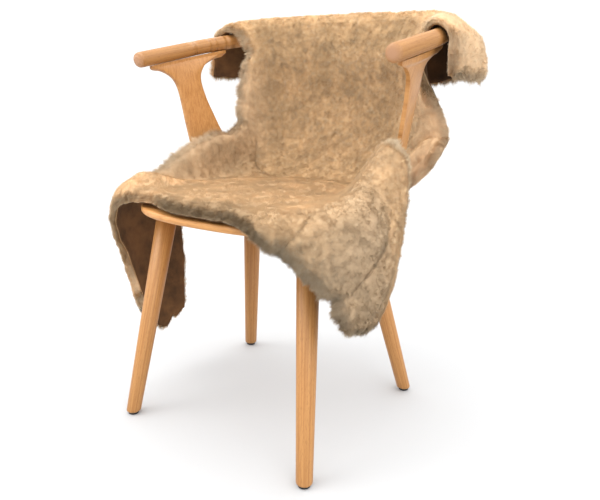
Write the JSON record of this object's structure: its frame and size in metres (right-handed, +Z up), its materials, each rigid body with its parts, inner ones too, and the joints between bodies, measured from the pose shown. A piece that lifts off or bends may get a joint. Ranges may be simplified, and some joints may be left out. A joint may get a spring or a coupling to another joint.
{
  "type": "double sheepskin rug on a wooden chair",
  "caption": "Sewn pair of shorn sheepskins draped over the bent rail and seat of a plain wooden chair, wool side out.",
  "frame": {"origin": "on the floor under the middle of the object's box", "axes": "+Z up, the chair faces -Y, its left arm as seen from the front is at -X"},
  "size_m": [0.6744, 0.5986, 0.8327],
  "materials": {
    "sheepskin": "short shorn wool over suede leather",
    "oak": "oiled, matt",
    "glide": "moulded, matt"
  },
  "bodies": {
    "root": {"hide_upper": "sheepskin", "hide_lower": "sheepskin", "seat": "oak", "rail": "oak", "support_left": "oak", "support_right": "oak", "leg_front_left": "oak", "leg_front_right": "oak", "leg_rear_left": "oak", "leg_rear_right": "oak", "glide_front_left": "glide", "glide_front_right": "glide", "glide_rear_left": "glide", "glide_rear_right": "glide"}
  },
  "joints": []
}
